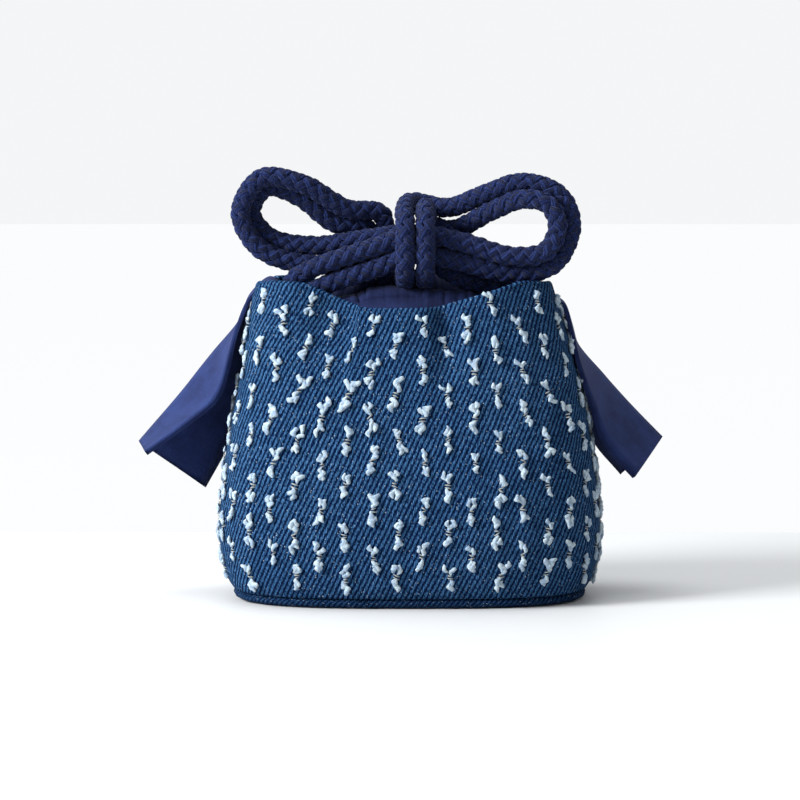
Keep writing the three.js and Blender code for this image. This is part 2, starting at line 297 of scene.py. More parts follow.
def cotton_material(name, low, high, weave=2.6):
    """Plain-woven navy cotton: a fine even weave, faintly mottled."""
    shader = Shader(name, 0.85, Sheen_Weight=0.04, Specular_IOR_Level=0.12)
    across, up, _, place = shader.attribute("cloth")
    warp = shader.wave(shader.math("MULTIPLY", across, weave))
    weft = shader.wave(shader.math("MULTIPLY", up, weave))
    slub = shader.noise(shader.scaled(place, 2.2, 0.25, 1), 1.0, 3)
    slub_across = shader.noise(shader.scaled(place, 0.25, 2.2, 1), 1.0, 3)
    mottle = shader.noise(shader.scaled(place, 0.12, 0.12, 1), 1.0, 3)
    mix = shader.math("ADD", shader.math("MULTIPLY", slub, 0.5), shader.math("MULTIPLY", slub_across, 0.5))
    tone = shader.math("MULTIPLY_ADD", mottle, 0.6, shader.math("MULTIPLY", mix, 0.5))
    shader.colour(shader.blend(shader.ramp(tone, 0.25, 0.85), low, high))
    weave_height = shader.math("MULTIPLY", shader.math("ADD", warp, weft), 0.5)
    shader.bump(shader.math("MULTIPLY_ADD", mix, 1.2, weave_height), 0.07)
    return shader.material


def cord_material():
    """Soft cotton braid: each strand is a bundle of fine yarns laid side by side."""
    shader = Shader("navy_cord", 0.9, Sheen_Weight=0.05, Specular_IOR_Level=0.08)
    around, along, strand, _ = shader.attribute("yarn")
    fuzz = shader.noise(shader.object_place(), 1500, 3, 0.6)
    lay = shader.math("MULTIPLY_ADD", along, 0.22, shader.math("MULTIPLY", around, 7))
    yarns = shader.wave(shader.math("MULTIPLY_ADD", fuzz, 0.6, lay))
    patches = shader.noise(shader.vector(strand, shader.math("MULTIPLY", along, 0.3), 0.0), 1.0, 3)
    # Stripes of yarn along each strand blend a dark navy and a lighter lit navy: painted light on the yarn
    # crests and painted shade in the grooves between them, over the cord's navy dye.
    navy_and_groove_shade = shader.blend(patches, (0.003, 0.0055, 0.024), (0.006, 0.011, 0.05))
    lit = shader.blend(patches, (0.011, 0.021, 0.09), (0.028, 0.05, 0.18))
    mix = shader.math("MULTIPLY", shader.math("MULTIPLY_ADD", yarns, 0.7, 0.3), shader.ramp(fuzz, 0.2, 0.75))
    shader.colour(shader.blend(mix, navy_and_groove_shade, lit))
    shader.bump(shader.math("MULTIPLY_ADD", fuzz, 0.8, yarns), 0.2)
    return shader.material


# ---------------------------------------------------------------- mesh building

def make_mesh(name, points, faces, material, attributes=None, smooth=True):
    mesh = bpy.data.meshes.new(name)
    mesh.from_pydata((np.asarray(points, float) * MM).tolist(), [], [tuple(face) for face in faces])
    for key, values in (attributes or {}).items():
        layer = mesh.attributes.new(key, "FLOAT_VECTOR", "POINT")
        layer.data.foreach_set("vector", np.asarray(values, np.float32).ravel())
    mesh.polygons.foreach_set("use_smooth", [smooth] * len(mesh.polygons))
    mesh.materials.append(material)
    piece = bpy.data.objects.new(name, mesh)
    bpy.context.collection.objects.link(piece)
    return piece


def add_piece(name, points, faces, material, attributes=None):
    piece = make_mesh(name, points, faces, material, attributes)
    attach(piece, "root")
    return piece


def grid_faces(rows, columns, wrap_columns=False):
    """Quads over a grid of points whose rows follow each other in the list of points."""
    row = np.arange(rows - 1)[:, None]
    column = np.arange(columns if wrap_columns else columns - 1)[None, :]
    next_row = row + 1
    next_column = (column + 1) % columns
    corners = [
        row * columns + column,
        row * columns + next_column,
        next_row * columns + next_column,
        next_row * columns + column,
    ]
    return np.stack([corner + np.zeros_like(row + column) for corner in corners], axis=-1).reshape(-1, 4)


def capped_faces(rings, sides):
    """Faces of a tube of rings of points, closed at both ends."""
    faces = grid_faces(rings, sides, wrap_columns=True).tolist()
    faces.append(list(range(sides))[::-1])
    faces.append(list(range((rings - 1) * sides, rings * sides)))
    return faces


def yarn_places(around, along, kind):
    """Each point's place round and along its yarn, and 0 for pile or 1 for thread."""
    return np.stack(np.broadcast_arrays(around / TURN, along, kind), axis=-1).reshape(-1, 3)


def unit(vectors):
    length = np.linalg.norm(vectors, axis=-1, keepdims=True)
    return vectors / np.maximum(length, 1e-9)


def grid_normals(grid):
    return unit(np.cross(np.gradient(grid, axis=1), np.gradient(grid, axis=0)))


def smoothstep(value, low, high):
    share = np.clip((value - low) / (high - low), 0, 1)
    return share * share * (3 - 2 * share)


def ripple(x, y, seed, wavelength, waves=7):
    """Smooth uneven relief from -1 to 1, the sum of a few slanted waves."""
    random = np.random.default_rng(seed)
    total = 0
    for _ in range(waves):
        heading = random.uniform(0, TURN)
        length = wavelength * random.uniform(0.7, 1.5)
        run = x * math.cos(heading) + y * math.sin(heading)
        total = total + np.sin(TURN * run / length + random.uniform(0, TURN))
    return total / math.sqrt(waves) / 1.6


def smooth_curve(stations, per_span):
    """The centripetal Catmull-Rom curve that the CAD model's routes follow."""
    stations = np.asarray(stations, float)
    first = 2 * stations[0] - stations[1]
    last = 2 * stations[-1] - stations[-2]
    knots = np.vstack([first, stations, last])
    share = np.linspace(0, 1, per_span, endpoint=False)[:, None]
    spans = []
    for a, b, c, d in zip(knots, knots[1:], knots[2:], knots[3:]):
        before, here, after = (max(np.linalg.norm(q - p), 1e-8) ** 0.5 for p, q in ((a, b), (b, c), (c, d)))
        start = ((b - a) / before - (c - a) / (before + here) + (c - b) / here) * here
        end = ((c - b) / here - (d - b) / (here + after) + (d - c) / after) * here
        bend = -3 * b + 3 * c - 2 * start - end
        turn = 2 * b - 2 * c + start + end
        spans.append(b + start * share + bend * share**2 + turn * share**3)
    return np.vstack(spans + [stations[-1:]])


def even_steps(line, step):
    run = np.concatenate([[0], np.cumsum(np.linalg.norm(np.diff(line, axis=0), axis=1))])
    count = int(round(run[-1] / step)) + 1
    marks = np.linspace(0, run[-1], count)
    return np.stack([np.interp(marks, run, line[:, k]) for k in range(3)], axis=1), marks


# ---------------------------------------------------------------- drawstrings

CORD_PER_FAMILY = 4             # strands that wind each way round
CORD_LAY = 17                   # length of one turn of a strand
STRAND_CENTRE = 2.0
STRAND_SWING = 0.4
STRAND_HALF_THICKNESS = 0.84
STRAND_HALF_WIDTH = 1.26
STRAND_SIDES = 9
STRAND_STEP = 0.48
STRAND_SLACK = 0.1
STRAND_SPREAD = 0.12            # how much wider a strand lies where it is on top
SPAN_STEPS = 24
CORE_RADIUS = 1.5
CORE_SIDES = 8

# The two drawstrings run side by side, except in the casings. Each row gives the point midway
# between them, then the way from there to the back one; the front one is as far the other way.
DRAWSTRING_ROUTE = [
    # tails tucked into the mouth, then once round the knot from below
    (1.7, 0, 82, 3.1, 0, 0),
    (1.7, -1.6, 96.6, 3.1, 0, 0),
    (1.7, -9.8, 98.9, 3.1, 0, 0),
    (1.7, -17.8, 104.2, 3.1, 0, 0),
    (1.7, -17.4, 116, 3.1, 0, 0),
    (1.7, -8.6, 120.9, 3.1, 0, 0),
    (4.2, 2.1, 118.9, 2.6, -0.1, -3.5),
    (13, 0.6, 117.4, 0.6, -0.3, -3.4),
    # right loop, out along the top and back along the bottom
    (24, -4, 122.4, 1.4, -1.2, -2.4),
    (35, -8, 126.2, 0, -1.8, -2.5),
    (44.4, -10, 123.4, -1.8, -2.1, -1.4),
    (47.6, -10.8, 115.2, -2.2, -2.1, 0.2),
    (42.8, -11.2, 105.6, -1.3, -1.8, 2.1),
    (31, -11.5, 103.6, 0.2, -1.4, 2.7),
    (15, -11.4, 107.8, 0.5, -0.5, 3),
    # through the front of the knot to the left end of the mouth
    (1.7, -11.3, 109.9, 0, 0, 3.1),
    (-10, -11.2, 106, -0.9, 0, 3),
    (-28, -10.8, 99.8, -0.8, 0, 3.05),
    (-34.9, -9.2, 96, -0.7, 1, 2.9),
    (-36.2, -4, 91.4, -0.2, 5.2, 1.8),
    (-33.8, -0.4, 86.4, -0.2, 8.2, 0.4),
    # through the casings
    (-27, 0, 86.2, 0, 8.5, 0),
    (0, 0, 90.6, 0, 8.5, 0),
    (27, 0, 86.2, 0, 8.5, 0),
    # back from the right end of the mouth through the back of the knot
    (33.8, -0.3, 86.4, 0.2, 8.2, 0.4),
    (36.3, -2, 91.4, 0.2, 5.6, 1.8),
    (35, -3.6, 96, 0.9, 1.5, 2.65),
    (18, -4.4, 101.4, 0.9, 0, 3.05),
    (3, -4.4, 109.4, 0.8, 0, 3.1),
    # left loop, out along the bottom and back along the top
    (-14, -4.4, 108, -0.4, 0.2, 3.1),
    (-30, -3.6, 106.2, 0.3, 0.9, 2.9),
    (-44.8, -4.5, 110, 1.3, 2, 1.8),
    (-50.6, -5.4, 119.6, 1.5, 2.6, 0),
    (-45, -5.2, 128.6, 0.7, 2.6, -1.4),
    (-33.5, -3.8, 126.2, -0.9, 2.2, -1.9),
    (-21.5, -0.6, 118.2, -1.6, 1.2, -2.4),
    # tails down behind the knot into the mouth
    (-11.2, 2.8, 116.4, -2.4, 0.3, -2.2),
    (-10.6, 3.2, 106.4, -3.1, 0, 0),
    (-10.6, 0.4, 95, -3.1, 0, 0),
    (-10.6, 0, 82, -3.1, 0, 0),
]


def moving_frames(line):
    """Tangent and two steady normals along a line."""
    tangent = unit(np.gradient(line, axis=0))
    side = np.zeros_like(tangent)
    side[0] = unit(np.cross(tangent[0], (0.3, 1, 0.2)))
    for k in range(1, len(line)):
        side[k] = unit(side[k - 1] - tangent[k] * side[k - 1].dot(tangent[k]))
    return tangent, side, np.cross(tangent, side)


def braided_cord(line, marks):
    """A tubular braid, over one and under one, round a core."""
    tangent, side, other = moving_frames(line)
    section = np.arange(STRAND_SIDES) * TURN / STRAND_SIDES
    points, faces, yarn = [], [], []
    offset = 0
    for way in (1, -1):
        for strand in range(CORD_PER_FAMILY):
            angle = way * marks / CORD_LAY * TURN + strand * TURN / CORD_PER_FAMILY
            over = way * np.cos(CORD_PER_FAMILY * marks / CORD_LAY * TURN)
            slack = STRAND_SLACK * ripple(marks, marks * 0, SEED + 12 + strand + 10 * way, 5)
            radius = STRAND_CENTRE + STRAND_SWING * over + slack
            out = side * np.cos(angle)[:, None] + other * np.sin(angle)[:, None]
            centre = line + out * radius[:, None]
            run = unit(np.gradient(centre, axis=0))
            lift = unit(out - run * (out * run).sum(axis=1, keepdims=True))
            flank = np.cross(run, lift)
            breadth = STRAND_HALF_WIDTH * (1 + STRAND_SPREAD * over)
            ring = (
                centre[:, None]
                + lift[:, None] * (STRAND_HALF_THICKNESS * np.cos(section))[None, :, None]
                + flank[:, None] * (np.sin(section)[None, :] * breadth[:, None])[:, :, None]
            )
            points.append(ring.reshape(-1, 3))
            faces.append(grid_faces(len(line), STRAND_SIDES, wrap_columns=True) + offset)
            number = strand + CORD_PER_FAMILY * (way > 0)
            around, along = np.meshgrid(section / TURN, marks)
            yarn.append(np.stack([around, along, np.full_like(along, number * 3.7)], axis=-1).reshape(-1, 3))
            offset += ring.shape[0] * STRAND_SIDES
    turn = np.arange(CORE_SIDES) * TURN / CORE_SIDES
    core = (
        line[:, None]
        + CORE_RADIUS * side[:, None] * np.cos(turn)[None, :, None]
        + CORE_RADIUS * other[:, None] * np.sin(turn)[None, :, None]
    )
    points.append(core.reshape(-1, 3))
    faces.append(grid_faces(len(line), CORE_SIDES, wrap_columns=True) + offset)
    yarn.append(np.zeros((len(line) * CORE_SIDES, 3)))
    return np.vstack(points), np.vstack(faces), np.vstack(yarn)


def make_drawstring(name, way, material):
    route = np.array(DRAWSTRING_ROUTE, float)
    stations = route[:, :3] + way * route[:, 3:]
    line, marks = even_steps(smooth_curve(stations, SPAN_STEPS), STRAND_STEP)
    points, faces, yarn = braided_cord(line, marks)
    piece = add_piece(name, points, faces, material, {"yarn": yarn})
    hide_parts(name.replace("braided_", ""))


# ---------------------------------------------------------------- the bag's form, as in the CAD model

DENIM = 2.0
SQUARENESS = 3.0
BAG_PROFILE = np.array([        # height, half width, half depth
    [0, 52, 32],
    [3, 55.4, 35],
    [8, 57.8, 36.5],
    [16, 59, 37.7],
    [26, 59.2, 38],
    [40, 57.8, 36.6],
    [55, 55.5, 33],
    [70, 52.4, 29.2],
    [85, 49.2, 25.7],
    [95, 46.8, 23.8],
    [102, 45.2, 22.6],
])
LEAN = -1.7
LEAN_FOOT = 65
LEAN_TOP = 95
RIM_FRONT = np.array([          # x, height of the rim along the front and the back
    [-40, 99],
    [-34, 98.6],
    [-28, 96.2],
    [-22, 93.6],
    [-14, 91],
    [9, 91.2],
    [15, 93],
    [27, 96.2],
    [37, 99.2],
    [40, 98.8],
])
SIDE_RIM = 88.5
SIDE_RISE = 10
SIDE_START = 43
SIDE_END = 47
FRONT_DIP = (3, 9)
BACK_DIP = (8, 20)
FOLD_FOOT = 60
FOLD_FULL = 90
DENT_DEPTH = 5.2
DENT_WIDTH = 22
VALLEY_DEPTH = 3
VALLEY_WIDTH = 3.6
BULGE_HEIGHT = 2
BULGE_WIDTH = 8


def softened(table, key, column, reach):
    """A table looked up with its corners rounded over a reach either side."""
    spots = np.linspace(-reach, reach, 9)
    return np.mean([np.interp(key + spot, table[:, 0], table[:, column]) for spot in spots], axis=0)


def bump_at(x, centre, width):
    return np.exp(-(((x - centre) / width) ** 2))


def front_fold(x, z):
    fade = smoothstep(z, FOLD_FOOT, FOLD_FULL)
    ridge = -14 - 6 * (FOLD_FULL - z) / (FOLD_FULL - FOLD_FOOT)
    across = np.clip((ridge - x) / DENT_WIDTH, 0, 1)
    dent = DENT_DEPTH * np.sin(math.pi * np.sqrt(across))
    valley = VALLEY_DEPTH * bump_at(x, 12, VALLEY_WIDTH)
    bulges = BULGE_HEIGHT * (bump_at(x, 0, BULGE_WIDTH) + 0.6 * bump_at(x, 25, BULGE_WIDTH))
    return fade * (dent + valley - bulges)


def back_fold(x, z):
    fade = smoothstep(z, FOLD_FOOT, FOLD_FULL)
    valleys = VALLEY_DEPTH * (bump_at(x, -11, BULGE_WIDTH) + bump_at(x, 17, BULGE_WIDTH))
    return fade * (valleys - BULGE_HEIGHT * bump_at(x, 3, BULGE_WIDTH))


def lean(z):
    return LEAN * smoothstep(z, LEAN_FOOT, LEAN_TOP)


def wall_point(angle, z, inset):
    """Points of the bag's plan at angles and heights, a given distance inside the outer face."""
    half_width = softened(BAG_PROFILE, z, 1, 4) - inset
    half_depth = softened(BAG_PROFILE, z, 2, 4) - inset
    along, across = np.cos(angle), np.sin(angle)
    x = half_width * np.sign(along) * np.abs(along) ** (2 / SQUARENESS)
    y = half_depth * np.sign(across) * np.abs(across) ** (2 / SQUARENESS)
    fold = np.where(across < 0, front_fold(x, z), back_fold(x, z))
    return np.stack([x + lean(z), y - np.sign(y) * np.abs(across) * fold, z + 0 * x], axis=-1)


def rim_height(angle):
    corner = wall_point(angle, np.full_like(angle, SIDE_RIM), 0)
    side = smoothstep(np.abs(corner[..., 0] - lean(SIDE_RIM)), SIDE_START, SIDE_END)
    reach = np.abs(corner[..., 1])
    front, back = smoothstep(reach, *FRONT_DIP), smoothstep(reach, *BACK_DIP)
    dip = SIDE_RISE * np.where(corner[..., 1] < 0, front, back)
    level = softened(RIM_FRONT, corner[..., 0], 1, 2)
    return level + (SIDE_RIM + dip - level) * side


def even_angles(start, end, count, z=40):
    """Angles that space points of the plan evenly along its outline."""
    fine = np.linspace(start, end, 6000)
    outline = wall_point(fine, np.full_like(fine, z), 0)
    run = np.concatenate([[0], np.cumsum(np.linalg.norm(np.diff(outline, axis=0), axis=1))])
    return np.interp(np.linspace(0, run[-1], count), run, fine)


# ---------------------------------------------------------------- denim wall

WALL_BOTTOM = 2.9
PANEL_COLUMNS = 260
PANEL_ROWS = 150
ROW_GAP = 0.5                   # from the wall's foot to the first row of points
TUCKS = [(2.9, 1.3), (3.1, 0.5)]        # height and inset of the cloth tucked in at the foot
HEM_DEPTH = 16
HEM_ROWS = 12
RIM_ROUND = 0.9
RIM_TURNS = 6
BUCKLE_DEPTH = 0.28
BUCKLE_LENGTH = 11
CREASE_DEPTH = 0.1
CREASE_LENGTH = 4.2


def cloth_run(grid, origin):
    """Distance along each row from where x passes the origin, for rows of rising x.
    The back panel comes with falling x, so its distances are measured from a side seam."""
    steps = np.linalg.norm(np.diff(grid, axis=1), axis=2)
    run = np.concatenate([np.zeros((len(grid), 1)), np.cumsum(steps, axis=1)], axis=1)
    middle = np.array([np.interp(origin, row[:, 0], along) for row, along in zip(grid, run)])
    return run - middle[:, None]


class Panel:
    """One half of the denim wall, from side seam to side seam."""

    def __init__(self, front):
        self.front = front
        start, end = (math.pi, TURN) if front else (0, math.pi)
        self.angles = even_angles(start, end, PANEL_COLUMNS)
        self.rims = rim_height(self.angles)
        heights = np.linspace(0, 1, PANEL_ROWS)[:, None]
        self.z = WALL_BOTTOM + ROW_GAP + heights * (self.rims - RIM_ROUND - WALL_BOTTOM - ROW_GAP)
        outer = wall_point(self.angles[None, :] + 0 * self.z, self.z, 0)
        if not front:
            outer = outer[:, ::-1]
            self.z = self.z[:, ::-1]
            self.angles = self.angles[::-1]
            self.rims = self.rims[::-1]
        order = outer if front else outer * (-1, 1, 1)
        self.run = cloth_run(order, 0.0)
        outward = grid_normals(outer)
        centre = np.array([0, 0, 50.0])
        facing = np.sign(((outer - centre) * outward).sum(axis=-1, keepdims=True).mean())
        self.normal = outward * facing
        seed = SEED if front else SEED + 1
        buckles = BUCKLE_DEPTH * ripple(self.run, self.z, seed, BUCKLE_LENGTH)
        creases = CREASE_DEPTH * ripple(self.run, self.z, seed + 9, CREASE_LENGTH)
        calm = smoothstep(self.z, WALL_BOTTOM, WALL_BOTTOM + 4)
        self.outer = outer + self.normal * ((buckles + creases) * calm)[..., None]

    def mesh(self):
        """The outer face, the turned rim and the facing inside, as one strip of cloth."""
        rows = [*(self.tucked(z, inset) for z, inset in TUCKS), *self.outer]
        cloth_up = [self.z[0] - 1.2, self.z[0] - 0.5, *self.z]
        for turn in np.linspace(20, 160, RIM_TURNS):
            rows.append(self.rounded(math.radians(turn)))
            cloth_up.append(self.z[-1] + RIM_ROUND * (turn + 20) / 90)
        for depth in np.linspace(1, HEM_DEPTH, HEM_ROWS):
            rows.append(wall_point(self.angles, self.rims - RIM_ROUND - depth, DENIM))
            cloth_up.append(self.z[-1] + 2.5 + depth)
        grid = np.stack(rows)
        inside = np.tile(self.run[-1], (RIM_TURNS + HEM_ROWS, 1))
        run = np.vstack([self.run[0], self.run[0], self.run, inside])
        cloth = np.stack([run, np.stack(cloth_up), np.full_like(run, 40.0 * self.front)], axis=-1)
        return grid, cloth

    def tucked(self, z, inset):
        return wall_point(self.angles, np.full_like(self.angles, z), inset)

    def rounded(self, turn):
        inset = DENIM / 2 * (1 - math.cos(turn))
        lift = RIM_ROUND * math.sin(turn)
        edge = wall_point(self.angles, self.rims - RIM_ROUND, inset)
        edge[:, 2] += lift
        return edge

    def longest_run(self, z):
        """The largest distance, either way, in the row nearest a height."""
        row = np.argmin(np.abs(self.z[:, PANEL_COLUMNS // 2] - z))
        return np.abs(self.run[row]).max()

    def place(self, run, z):
        """The point, outward normal and rightward direction at a place on the cloth."""
        row = int(np.argmin(np.abs(self.z[:, PANEL_COLUMNS // 2] - z)))
        column = int(np.argmin(np.abs(self.run[row] - run)))
        row = int(np.argmin(np.abs(self.z[:, column] - z)))
        column = min(max(column, 1), PANEL_COLUMNS - 2)
        right = unit(self.outer[row, column + 1] - self.outer[row, column - 1])
        right = right * np.sign(self.run[row, column + 1] - self.run[row, column - 1])
        return self.outer[row, column], self.normal[row, column], right


def make_wall(panels, material):
    for panel, name in zip(panels, ("denim_front_panel", "denim_back_panel")):
        grid, cloth = panel.mesh()
        rows, columns = grid.shape[:2]
        places = {"cloth": cloth.reshape(-1, 3)}
        piece = add_piece(name, grid.reshape(-1, 3), grid_faces(rows, columns), material, places)
        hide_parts("denim_body")


# ---------------------------------------------------------------- tufts

COLUMN_PITCH = 7.7
COLUMN_START = -3.9
ROW_PITCH = 13.8
ROW_START = 9.9
LOBE_RINGS = 7
LOBE_SIDES = 8
LOBES_EACH_WAY = (2, 3)
THREAD_RINGS = 7
THREAD_SIDES = 6
THREAD_RADIUS = 0.2
THREAD_HEIGHTS = (-0.45, 0.35)
TUFT_ROWS = range(-1, 8)


def lobe(random, length, width, thickness):
    """A clipped end of soft yarn: a lumpy clump, fuller towards its tip."""
    along = np.linspace(0, 1, LOBE_RINGS)[:, None]
    around = (np.arange(LOBE_SIDES) * TURN / LOBE_SIDES)[None, :]
    swell = np.sin(math.pi * np.clip(along, 0.03, 0.98) ** random.uniform(0.85, 1.25)) ** 0.5
    lumps = 0.2 * np.cos(random.integers(2, 4) * around + 7 * along + random.uniform(0, TURN))
    lumps = lumps + 0.13 * random.standard_normal((LOBE_RINGS, LOBE_SIDES))
    radius = swell * (1 + lumps * swell)
    x = radius * np.cos(around) * width / 2 + 0.25 * width * np.sin(5 * along + random.uniform(0, TURN))
    y = radius * np.sin(around) * thickness / 2
    z = along * length * (1 + 0.1 * lumps)
    points = np.stack([x, y, z], axis=-1).reshape(-1, 3)
    return points, capped_faces(LOBE_RINGS, LOBE_SIDES), yarn_places(around, along, 0)


def pinch_thread(random, width):
    """A turn of cream thread that holds the yarn down."""
    along = np.linspace(-1, 1, THREAD_RINGS)[:, None]
    around = (np.arange(THREAD_SIDES) * TURN / THREAD_SIDES)[None, :]
    radius = THREAD_RADIUS * np.sqrt(np.clip(1 - 0.9 * along**2, 0.03, 1))
    x = along * width / 2 + 0 * around
    y = 0.5 + radius * np.sin(around) - 0.5 * along**2
    z = radius * np.cos(around) + random.uniform(-0.4, 0.4) * along
    points = np.stack([x, y, z], axis=-1).reshape(-1, 3)
    return points, capped_faces(THREAD_RINGS, THREAD_SIDES), yarn_places(around, along, 1)


def tuft(random):
    """Clumps above and below a pinch, as points in a frame of rightwards, outwards and upwards."""
    placed = []
    for way in (0, 180):
        spread = random.uniform(6, 22) if way == 0 else random.uniform(2, 13)
        count = random.integers(*LOBES_EACH_WAY, endpoint=True)
        for k in range(count):
            points, faces, yarn = lobe(
                random, random.uniform(1.9, 3.0), random.uniform(1.2, 1.9), random.uniform(0.8, 1.25)
            )
            points = points + (0, 0, random.uniform(0.3, 0.9) + 0.75 * k)
            tilt = math.radians(way + spread * (1 - 2 * (k % 2)) + random.uniform(-8, 8))
            x = points[:, 0] * math.cos(tilt) + points[:, 2] * math.sin(tilt)
            z = -points[:, 0] * math.sin(tilt) + points[:, 2] * math.cos(tilt)
            lift = random.uniform(0.3, 0.65)
            placed.append((np.stack([x, points[:, 1] + lift, z], axis=-1), faces, yarn))
    for height in THREAD_HEIGHTS:
        points, faces, yarn = pinch_thread(random, random.uniform(1.2, 1.9))
        placed.append((points + (0, 0, height), faces, yarn))
    return placed


def make_tufts(panel, name, material):
    random = np.random.default_rng(SEED + 20 * panel.front)
    points, faces, yarn = [], [], []
    offset = 0
    reach = float(np.abs(panel.run).max())
    first = int(math.ceil((-reach - COLUMN_START) / COLUMN_PITCH))
    last = int(math.floor((reach - COLUMN_START) / COLUMN_PITCH))
    for column in range(first, last + 1):
        stagger = 0.5 * (column % 2)
        for row in TUFT_ROWS:
            run = COLUMN_START + COLUMN_PITCH * column + random.uniform(-0.7, 0.7)
            z = ROW_START + ROW_PITCH * (row + stagger) + random.uniform(-0.9, 0.9)
            spin = math.radians(random.uniform(-14, 14))
            size = random.uniform(0.96, 1.26)
            parts = tuft(random)
            at, outward, right = panel.place(run, z)
            if abs(run) > panel.longest_run(z) - 1:
                continue
            if not WALL_BOTTOM + 4 < z < np.interp(run, panel.run[-1], panel.z[-1]) - 1.2:
                continue
            upward = np.cross(outward, right)
            upward = upward * np.sign(upward[2])
            for local, quads, strands in parts:
                x = size * (local[:, 0] * math.cos(spin) + local[:, 2] * math.sin(spin))
                up = size * (local[:, 2] * math.cos(spin) - local[:, 0] * math.sin(spin))
                spot = at + np.outer(x, right) + np.outer(size * local[:, 1], outward) + np.outer(up, upward)
                points.append(spot)
                faces += [[corner + offset for corner in face] for face in quads]
                yarn.append(strands)
                offset += len(spot)
    add_piece(name, np.vstack(points), faces, material, {"yarn": np.vstack(yarn)})


# ---------------------------------------------------------------- base and lining

BASE_COLUMNS = 240
BASE_EDGE = [                   # height, inset from the wall's foot
    (0, 14),
    (0, 6),
    (0.02, 2.9),
    (0.35, 1.3),
    (0.9, 0.3),
    (1.6, -0.1),
    (2.3, 0.1),
    (2.9, 0.7),
    (3.1, 1.8),
    (3.0, 4),
]
BASE_GIRTH = 290
LINING_TOP = 84
LINING_FLOOR = 4.2
LINING_INSET = 3.2
LINING_COLUMNS = 180
LINING_RINGS = 40
LINING_GIRTH = 300


def closed_loft(rings):
    """Faces over closed rings, with a middle point closing the first ring."""
    rings = np.stack(rings)
    count, columns = rings.shape[:2]
    middle = rings[0].mean(axis=0)
    points = np.vstack([rings.reshape(-1, 3), middle])
    faces = grid_faces(count, columns, wrap_columns=True).tolist()
    hub = count * columns
    faces += [[k, (k + 1) % columns, hub] for k in range(columns)]
    return points, faces


def make_base(material):
    angles = even_angles(0, TURN, BASE_COLUMNS + 1)[:-1]
    run = np.linspace(0, BASE_GIRTH, BASE_COLUMNS, endpoint=False)
    rings, cloth = [], []
    for k, (height, inset) in enumerate(BASE_EDGE):
        ring = wall_point(angles, np.full_like(angles, WALL_BOTTOM), inset)
        ripples = 0.16 * ripple(run, run * 0 + height, SEED + 3, 9) * (0.3 < height < 2.9)
        ring[:, :2] *= 1 + (ripples / 45)[:, None]
        ring[:, 2] = height
        rings.append(ring)
        level = ring[:, :2] if height < 0.1 else np.stack([run, np.full_like(run, 60 + 1.4 * k)], axis=-1)
        cloth.append(np.column_stack([level, np.full(len(run), 80.0)]))
    points, faces = closed_loft(rings)
    attributes = np.vstack(cloth + [np.zeros((1, 3))])
    piece = add_piece("denim_base_panel", points, faces, material, {"cloth": attributes})
    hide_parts("denim_base")


def make_lining(material):
    angles = even_angles(0, TURN, LINING_COLUMNS + 1)[:-1]
    rings, cloth = [], []
    run = np.linspace(0, LINING_GIRTH, LINING_COLUMNS, endpoint=False)
    side = [(z, LINING_INSET) for z in np.linspace(LINING_FLOOR + 1, LINING_TOP, LINING_RINGS)]
    steps = [(LINING_FLOOR, 20), (LINING_FLOOR, 8)] + side
    for z, inset in steps:
        rings.append(wall_point(angles, np.full_like(angles, float(z)), inset))
        cloth.append(np.column_stack([run, np.full_like(run, z + inset), np.zeros_like(run)]))
    points, faces = closed_loft(rings)
    attributes = np.vstack(cloth + [np.zeros((1, 3))])
    piece = add_piece("cotton_lining", points, faces, material, {"cloth": attributes})
    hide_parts("lining_bag")


# ---------------------------------------------------------------- cloth with two faces

def two_faced(grid, thickness, slit=0.0):
    """A closed strip of cloth round a grid of points, and its place on the cloth.
    With a slit, its long edges open between two layers."""
    normal = grid_normals(grid)
    half = thickness / 2
    top = grid + normal * half
    bottom = grid - normal * half
    rim = []
    for edge, inner in ((-1, -2), (0, 1)):
        inward = unit(grid[:, inner] - grid[:, edge])
        rim.append(grid[:, edge] + inward * slit)
    loop = np.concatenate([top, rim[0][:, None], bottom[:, ::-1], rim[1][:, None]], axis=1)
    rows, columns = loop.shape[:2]
    faces = grid_faces(rows, columns, wrap_columns=True).tolist()
    for row, flip in ((0, False), (rows - 1, True)):
        base = row * columns
        width = grid.shape[1]
        for k in range(width - 1):
            quad = [base + k, base + k + 1, base + 2 * width - 1 - k, base + 2 * width - k]
            faces.append(quad[::-1] if flip else quad)
        ends = [base + width - 1, base + width, base + width + 1]
        starts = [base, base + 2 * width, base + 2 * width + 1]
        faces += [ends[::-1] if flip else ends, starts[::-1] if flip else starts]
    middle = grid[:, grid.shape[1] // 2]
    along = np.concatenate([[0], np.cumsum(np.linalg.norm(np.diff(middle, axis=0), axis=1))])
    steps = np.linalg.norm(np.diff(grid, axis=1), axis=2)
    across = np.concatenate([np.zeros((len(grid), 1)), np.cumsum(steps, axis=1)], axis=1)
    spread = np.concatenate([across, across[:, -1:], across[:, ::-1], across[:, :1]], axis=1)
    cloth = np.stack([spread, along[:, None] + 0 * spread, 0 * spread], axis=-1)
    return loop.reshape(-1, 3), faces, cloth.reshape(-1, 3)


# ---------------------------------------------------------------- collars

COLLAR_LENGTH = 30
COLLAR_COLUMNS = 150
COLLAR = 0.9
CASING_RADIUS = 4.4
CASING_OFFSET = 8.5
CASING_HEIGHT = 90.6
CASING_SAG = 5.4
CASING_ROWS = 40
COLLAR_SKIRT = ((9, 0), (7, 0.1), (5, 0.2), (3, 0.3), (1, 0.4))      # drop below the casing, way inwards


def inside_depth(x, z, front, inset):
    half_width = softened(BAG_PROFILE, z, 1, 4) - inset
    half_depth = softened(BAG_PROFILE, z, 2, 4) - inset
    centred = x - lean(z)
    share = np.clip(1 - np.abs(centred / half_width) ** SQUARENESS, 0, 1)
    fold = front_fold(centred, z) if front else back_fold(centred, z)
    return half_depth * share ** (1 / SQUARENESS) - fold


